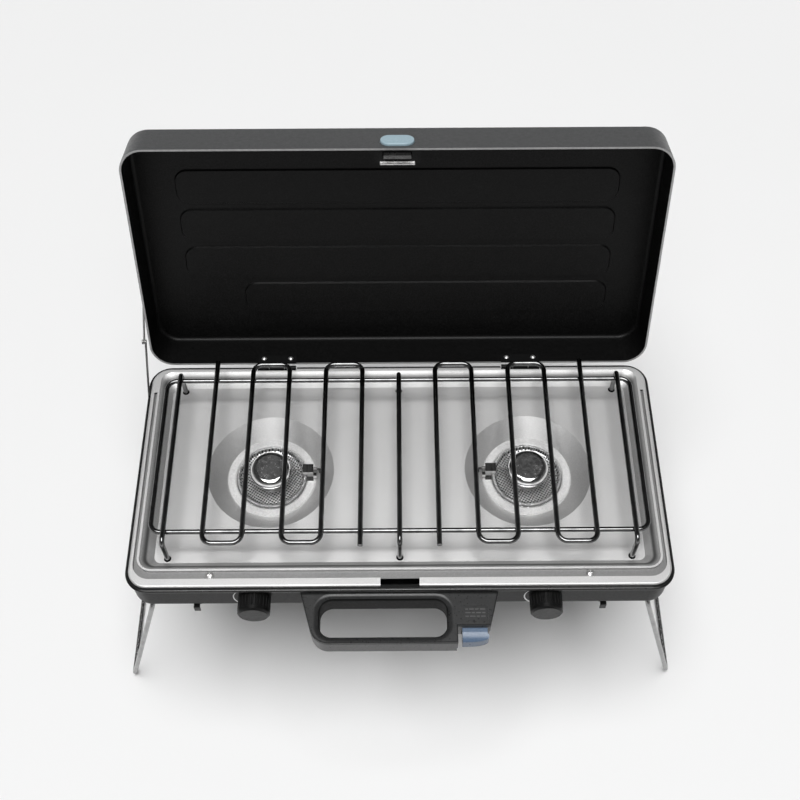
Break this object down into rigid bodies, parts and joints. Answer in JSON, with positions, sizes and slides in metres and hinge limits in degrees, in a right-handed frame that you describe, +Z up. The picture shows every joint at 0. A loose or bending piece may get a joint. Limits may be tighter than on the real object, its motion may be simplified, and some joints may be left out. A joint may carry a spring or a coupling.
{
  "type": "two-burner camping stove",
  "caption": "Suitcase camping stove: shallow steel case with conical burner recesses, wire pan support, ribbed hinged lid with latch, front carry handle, knobs and folding wire legs.",
  "frame": {"origin": "on the ground between the two ground rods, under the middle of the case", "axes": "+X along the case to the cook's right, +Y away from the cook to the hinges, +Z up"},
  "size_m": [0.609, 0.4344, 0.4894],
  "materials": {
    "case_enamel": "satin dark grey enamel",
    "lid_enamel": "fine textured dark enamel",
    "hob_silver": "silver paint with a fine grain",
    "wire_chrome": "bright plated wire",
    "plated_steel": "zinc plated sheet and rivets",
    "burner_steel": "perforated and pressed steel",
    "burner_cap": "polished cap",
    "gas_brass": "machined brass",
    "gas_pipe": "drawn tube",
    "knob_black": "moulded black",
    "handle_grey": "moulded dark grey",
    "trigger_blue": "moulded blue",
    "button_blue": "moulded light blue",
    "igniter_body": "moulded black",
    "lead_rubber": "insulated lead",
    "ceramic": null
  },
  "bodies": {
    "base": {"base_shell": "case_enamel", "hob_plate": "hob_silver", "hob_screws": "plated_steel", "gas_manifold": "gas_pipe", "gas_inlet": "gas_brass", "piezo_igniter": "igniter_body", "ignition_leads": "lead_rubber", "handle_upper": "handle_grey", "handle_lower": "handle_grey", "handle_screws": "plated_steel", "hinge_pins": "plated_steel", "stay_stud": "plated_steel", "leg_brackets": "plated_steel", "leg_rivets": "plated_steel", "leg_clips": "knob_black", "burner_collar_left": "plated_steel", "burner_collar_right": "plated_steel", "burner_cup_left": "burner_steel", "burner_cup_right": "burner_steel", "burner_tube_left": "burner_steel", "burner_tube_right": "burner_steel", "burner_cap_left": "burner_cap", "burner_cap_right": "burner_cap", "burner_support_left": "plated_steel", "burner_support_right": "plated_steel", "electrode_left": "ceramic", "electrode_right": "ceramic", "electrode_bracket_left": "plated_steel", "electrode_bracket_right": "plated_steel", "valve_left": "gas_brass", "valve_right": "gas_brass", "jet_left": "gas_brass", "jet_right": "gas_brass", "hinge_base_left": "case_enamel", "hinge_base_right": "case_enamel"},
    "lid": {"lid_shell": "lid_enamel", "hinge_lid_left": "lid_enamel", "hinge_lid_right": "lid_enamel", "hinge_rivets": "plated_steel", "latch_housing": "lid_enamel", "latch_striker": "plated_steel"},
    "latch": {"latch_button": "button_blue", "latch_hook": "plated_steel", "latch_spring": "plated_steel"},
    "stay_lower": {"stay_lower": "plated_steel"},
    "stay_upper": {"stay_upper": "plated_steel"},
    "grate": {"grate_frame": "wire_chrome", "grate_bar_left": "wire_chrome", "grate_bar_centre": "wire_chrome", "grate_bar_right": "wire_chrome", "grate_serpentine_left": "wire_chrome", "grate_serpentine_right": "wire_chrome"},
    "knob_left": {"knob_left": "knob_black", "valve_stem_left": "plated_steel"},
    "knob_right": {"knob_right": "knob_black", "valve_stem_right": "plated_steel"},
    "trigger": {"igniter_trigger": "trigger_blue"},
    "leg_left": {"leg_left": "wire_chrome"},
    "leg_right": {"leg_right": "wire_chrome"}
  },
  "joints": [
    {"name": "lid_hinge", "type": "hinge", "parent": "base", "child": "lid", "pos_m": [0, 0.1285, 0.2466], "axis": [1, 0, 0], "range_deg": [0, 108.25]},
    {"name": "stay_swing", "type": "hinge", "parent": "base", "child": "stay_lower", "pos_m": [-0.2663, 0.085, 0.223], "axis": [1, 0, 0], "range_deg": [0, 126.7]},
    {"name": "stay_fold", "type": "hinge", "parent": "stay_lower", "child": "stay_upper", "pos_m": [-0.2663, 0.1389, 0.28212], "axis": [1, 0, 0], "range_deg": [-111.8, 0]},
    {"name": "latch_press", "type": "slide", "parent": "lid", "child": "latch", "axis": [0, -0.3132, -0.9497], "range_m": [0, 0.003], "stiffness_N_per_m": 500, "springref_m": -0.002},
    {"name": "knob_left_turn", "type": "hinge", "parent": "base", "child": "knob_left", "pos_m": [-0.1415, -0.14, 0.2265], "axis": [0, -1, 0], "range_deg": [0, 270]},
    {"name": "knob_right_turn", "type": "hinge", "parent": "base", "child": "knob_right", "pos_m": [0.1415, -0.14, 0.2265], "axis": [0, -1, 0], "range_deg": [0, 270]},
    {"name": "trigger_pull", "type": "slide", "parent": "base", "child": "trigger", "axis": [0, 1, 0], "range_m": [0, 0.005], "stiffness_N_per_m": 800, "springref_m": -0.003},
    {"name": "leg_left_fold", "type": "hinge", "parent": "base", "child": "leg_left", "pos_m": [-0.246, 0, 0.2], "axis": [0, -1, 0], "range_deg": [0, 105]},
    {"name": "leg_right_fold", "type": "hinge", "parent": "base", "child": "leg_right", "pos_m": [0.246, 0, 0.2], "axis": [0, 1, 0], "range_deg": [0, 105]},
    {"name": "grate_lift", "type": "slide", "parent": "base", "child": "grate", "axis": [0, 0, 1], "range_m": [0, 0.01]}
  ],
  "couplings": [
    {"joint": "stay_swing", "follows": "lid_hinge", "ratio": 1.1694},
    {"joint": "stay_fold", "follows": "lid_hinge", "ratio": -1.0317}
  ]
}
